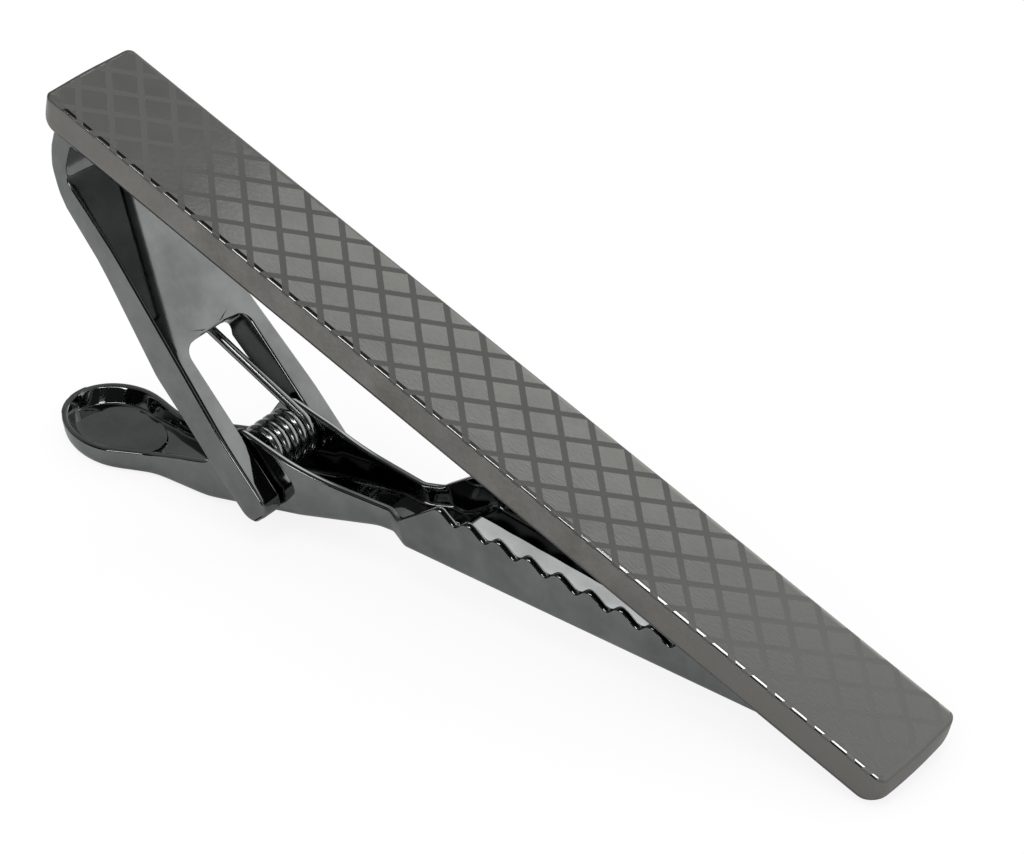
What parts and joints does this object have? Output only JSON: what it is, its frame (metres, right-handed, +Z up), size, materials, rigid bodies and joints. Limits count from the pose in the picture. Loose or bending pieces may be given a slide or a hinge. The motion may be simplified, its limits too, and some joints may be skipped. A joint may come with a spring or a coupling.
{
  "type": "tie clip",
  "caption": "Straight tie clip: a flat bar with a crosshatched satin face, a folded bracket under one end, and a sprung lever with a thumb pad and a toothed jaw that shuts on the bar's back.",
  "frame": {"origin": "centre of the bounding box in plan, on the table that the closed clip lies on, standing on its thumb pad and on the free end of the bar", "axes": "+X along the clip from the thumb pad and hinge end to the free end of the bar, +Y across the bar along the hinge pin, +Z up off the table"},
  "size_m": [0.0552, 0.0072, 0.0224],
  "materials": {
    "bar_satin": "satin gunmetal plating with an engraved crosshatch",
    "polished": "mirror-polished black nickel plating",
    "spring_wire": "bright drawn wire, black nickel plating"
  },
  "bodies": {
    "clip_frame": {"face_bar": "bar_satin", "back_bracket": "polished", "pivot_pin": "polished", "torsion_spring": "spring_wire"},
    "lever": {"jaw_lever": "polished"}
  },
  "joints": [
    {"name": "lever_hinge", "type": "hinge", "parent": "clip_frame", "child": "lever", "pos_m": [-0.01162, 0, 0.00406], "axis": [0, 1, 0], "range_deg": [0, 30], "stiffness_Nm_per_rad": 0.03, "springref_deg": -45.84, "deforming": ["torsion_spring"]}
  ]
}
